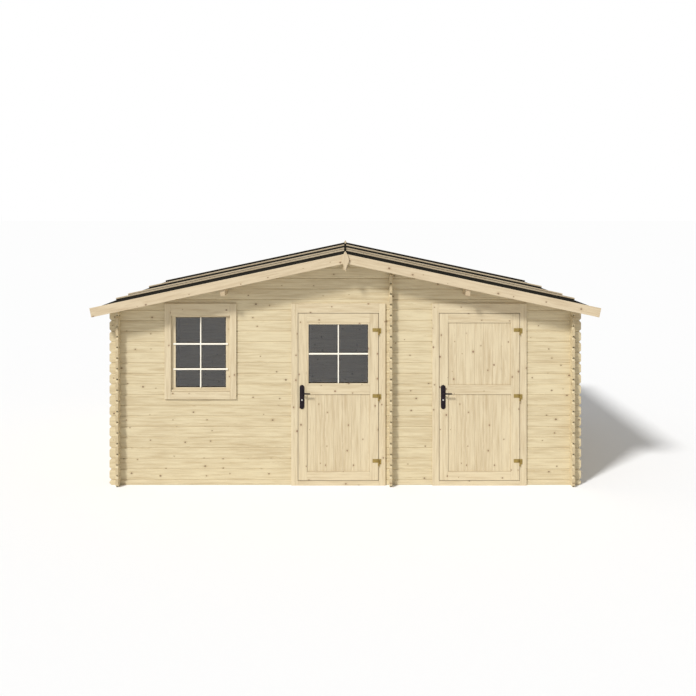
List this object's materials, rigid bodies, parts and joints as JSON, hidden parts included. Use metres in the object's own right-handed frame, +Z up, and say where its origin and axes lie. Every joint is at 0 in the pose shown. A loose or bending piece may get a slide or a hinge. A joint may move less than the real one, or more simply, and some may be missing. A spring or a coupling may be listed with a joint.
{
  "type": "log garden shed",
  "caption": "Log garden shed with a low felted gable roof, a half-glazed door, a solid door, a barred window and a partition between its rooms.",
  "frame": {"origin": "on the ground, under the middle of the shed", "axes": "+Z up, +X to the right of the front, and the front with its doors faces -Y"},
  "size_m": [5.2912, 3.844, 2.4925],
  "materials": {
    "timber": "planed spruce logs, untreated",
    "floor_timber": "planed spruce boards",
    "roof_timber": "planed spruce boards",
    "felt": "black mineral roofing felt",
    "joinery": "planed spruce joinery",
    "glass": "clear float glass",
    "hinge_brass": "satin yellow brass",
    "black_metal": "black powder coat"
  },
  "bodies": {
    "shed": {"front_wall_left": "timber", "front_wall_middle": "timber", "front_wall_right": "timber", "front_gable": "timber", "rear_wall": "timber", "left_wall": "timber", "right_wall": "timber", "partition_wall": "timber", "floor_left": "floor_timber", "floor_right": "floor_timber", "floor_joists": "floor_timber", "ridge_purlin": "roof_timber", "side_purlins": "roof_timber", "roof_boards_left": "roof_timber", "roof_boards_right": "roof_timber", "roof_felt": "felt", "roof_battens_left": "roof_timber", "roof_battens_right": "roof_timber", "eave_board_left": "roof_timber", "eave_board_right": "roof_timber", "front_fascia_left": "roof_timber", "front_fascia_right": "roof_timber", "rear_fascia_left": "roof_timber", "rear_fascia_right": "roof_timber", "front_ornament": "roof_timber", "rear_ornament": "roof_timber", "window_frame": "joinery", "window_sash": "joinery", "window_glass": "glass", "glazed_door_posts": "joinery", "solid_door_posts": "joinery", "door_heads": "joinery", "door_thresholds": "joinery", "glazed_door_hinge_pins": "hinge_brass", "solid_door_hinge_pins": "hinge_brass"},
    "glazed_door": {"glazed_door_leaf": "joinery", "glazed_door_glass": "glass", "glazed_door_hinges": "hinge_brass", "glazed_door_handle_plates": "black_metal"},
    "glazed_door_lever": {"glazed_door_lever": "black_metal"},
    "solid_door": {"solid_door_leaf": "joinery", "solid_door_hinges": "hinge_brass", "solid_door_handle_plates": "black_metal"},
    "solid_door_lever": {"solid_door_lever": "black_metal"}
  },
  "joints": [
    {"name": "glazed_door_swing", "type": "hinge", "parent": "shed", "child": "glazed_door", "pos_m": [0.3535, -1.692, 0], "axis": [0, 0, 1], "range_deg": [0, 140]},
    {"name": "glazed_door_lever_turn", "type": "hinge", "parent": "glazed_door", "child": "glazed_door_lever", "pos_m": [-0.4585, -1.66, 0.98], "axis": [0, 1, 0], "range_deg": [0, 40], "stiffness_Nm_per_rad": 1.5, "springref_deg": -11.46},
    {"name": "solid_door_swing", "type": "hinge", "parent": "shed", "child": "solid_door", "pos_m": [1.8475, -1.692, 0], "axis": [0, 0, 1], "range_deg": [0, 160]},
    {"name": "solid_door_lever_turn", "type": "hinge", "parent": "solid_door", "child": "solid_door_lever", "pos_m": [1.0355, -1.66, 0.98], "axis": [0, 1, 0], "range_deg": [0, 40], "stiffness_Nm_per_rad": 1.5, "springref_deg": -11.46}
  ]
}
